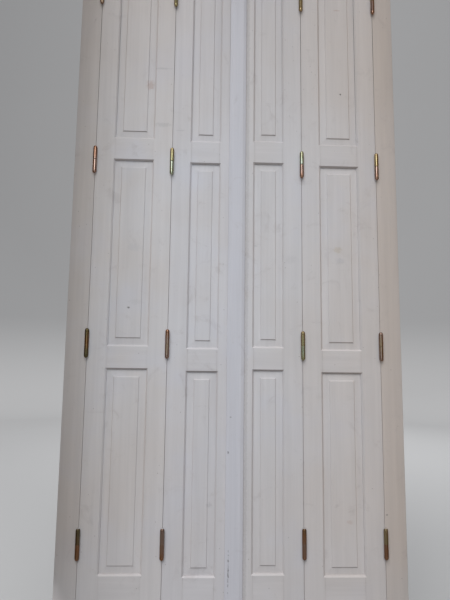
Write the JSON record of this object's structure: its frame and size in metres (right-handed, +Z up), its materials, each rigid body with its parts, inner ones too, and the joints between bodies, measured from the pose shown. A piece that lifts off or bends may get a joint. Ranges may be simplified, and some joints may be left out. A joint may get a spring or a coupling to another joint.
{
  "type": "folding panelled shutters with frame",
  "caption": "Folding timber shutters in their fixed frame: raised-and-fielded panel leaves fold outwards in pairs on lift-off hinges, with a cover strip on the meeting joint.",
  "frame": {"origin": "middle of the lower edge of the frame's back face", "axes": "+X to the right as seen from outside, +Y from the outside towards the building, +Z up"},
  "size_m": [1.2, 0.0755, 2.58],
  "materials": {
    "painted_timber": "matte off-white undercoat, brushed on",
    "hinge_steel": "yellow zinc plated, slightly iridescent",
    "bolt_steel": "bright zinc plated"
  },
  "bodies": {
    "frame": {"sill": "painted_timber", "head": "painted_timber", "left_upright": "painted_timber", "right_upright": "painted_timber", "left_frame_hinges_fixed": "hinge_steel", "right_frame_hinges_fixed": "hinge_steel"},
    "left_outer_leaf": {"left_outer_bottom_panel": "painted_timber", "left_outer_bottom_rail": "painted_timber", "left_outer_lower_rail": "painted_timber", "left_outer_middle_panel": "painted_timber", "left_outer_stile_in": "painted_timber", "left_outer_stile_out": "painted_timber", "left_outer_top_panel": "painted_timber", "left_outer_top_rail": "painted_timber", "left_outer_upper_rail": "painted_timber", "left_frame_hinges_lifting": "hinge_steel", "left_fold_hinges_fixed": "hinge_steel"},
    "left_inner_leaf": {"left_inner_bottom_panel": "painted_timber", "left_inner_bottom_rail": "painted_timber", "left_inner_lower_rail": "painted_timber", "left_inner_middle_panel": "painted_timber", "left_inner_stile_in": "painted_timber", "left_inner_stile_out": "painted_timber", "left_inner_top_panel": "painted_timber", "left_inner_top_rail": "painted_timber", "left_inner_upper_rail": "painted_timber", "left_fold_hinges_lifting": "hinge_steel", "left_bolt_guides": "bolt_steel", "cover_strip": "painted_timber"},
    "left_top_bolt": {"left_top_bolt": "bolt_steel"},
    "left_bottom_bolt": {"left_bottom_bolt": "bolt_steel"},
    "right_outer_leaf": {"right_outer_bottom_panel": "painted_timber", "right_outer_bottom_rail": "painted_timber", "right_outer_lower_rail": "painted_timber", "right_outer_middle_panel": "painted_timber", "right_outer_stile_in": "painted_timber", "right_outer_stile_out": "painted_timber", "right_outer_top_panel": "painted_timber", "right_outer_top_rail": "painted_timber", "right_outer_upper_rail": "painted_timber", "right_frame_hinges_lifting": "hinge_steel", "right_fold_hinges_fixed": "hinge_steel"},
    "right_inner_leaf": {"right_inner_bottom_panel": "painted_timber", "right_inner_bottom_rail": "painted_timber", "right_inner_lower_rail": "painted_timber", "right_inner_middle_panel": "painted_timber", "right_inner_stile_in": "painted_timber", "right_inner_stile_out": "painted_timber", "right_inner_top_panel": "painted_timber", "right_inner_top_rail": "painted_timber", "right_inner_upper_rail": "painted_timber", "right_fold_hinges_lifting": "hinge_steel", "right_bolt_guides": "bolt_steel"},
    "right_top_bolt": {"right_top_bolt": "bolt_steel"},
    "right_bottom_bolt": {"right_bottom_bolt": "bolt_steel"}
  },
  "joints": [
    {"name": "left_outer_swing", "type": "hinge", "parent": "frame", "child": "left_outer_leaf", "pos_m": [-0.5245, -0.068, 1.303], "axis": [0, 0, -1], "range_deg": [0, 90]},
    {"name": "left_inner_fold", "type": "hinge", "parent": "left_outer_leaf", "child": "left_inner_leaf", "pos_m": [-0.242, -0.068, 1.303], "axis": [0, 0, -1], "range_deg": [0, 180]},
    {"name": "left_top_bolt_slide", "type": "slide", "parent": "left_inner_leaf", "child": "left_top_bolt", "axis": [0, 0, 1], "range_m": [0, 0.02]},
    {"name": "left_bottom_bolt_slide", "type": "slide", "parent": "left_inner_leaf", "child": "left_bottom_bolt", "axis": [0, 0, -1], "range_m": [0, 0.02]},
    {"name": "right_outer_swing", "type": "hinge", "parent": "frame", "child": "right_outer_leaf", "pos_m": [0.5245, -0.068, 1.303], "axis": [0, 0, 1], "range_deg": [0, 90]},
    {"name": "right_inner_fold", "type": "hinge", "parent": "right_outer_leaf", "child": "right_inner_leaf", "pos_m": [0.242, -0.068, 1.303], "axis": [0, 0, 1], "range_deg": [0, 180]},
    {"name": "right_top_bolt_slide", "type": "slide", "parent": "right_inner_leaf", "child": "right_top_bolt", "axis": [0, 0, 1], "range_m": [0, 0.02]},
    {"name": "right_bottom_bolt_slide", "type": "slide", "parent": "right_inner_leaf", "child": "right_bottom_bolt", "axis": [0, 0, -1], "range_m": [0, 0.02]}
  ],
  "couplings": [
    {"joint": "right_outer_swing", "follows": "left_outer_swing", "ratio": 1},
    {"joint": "right_inner_fold", "follows": "left_inner_fold", "ratio": 1}
  ]
}
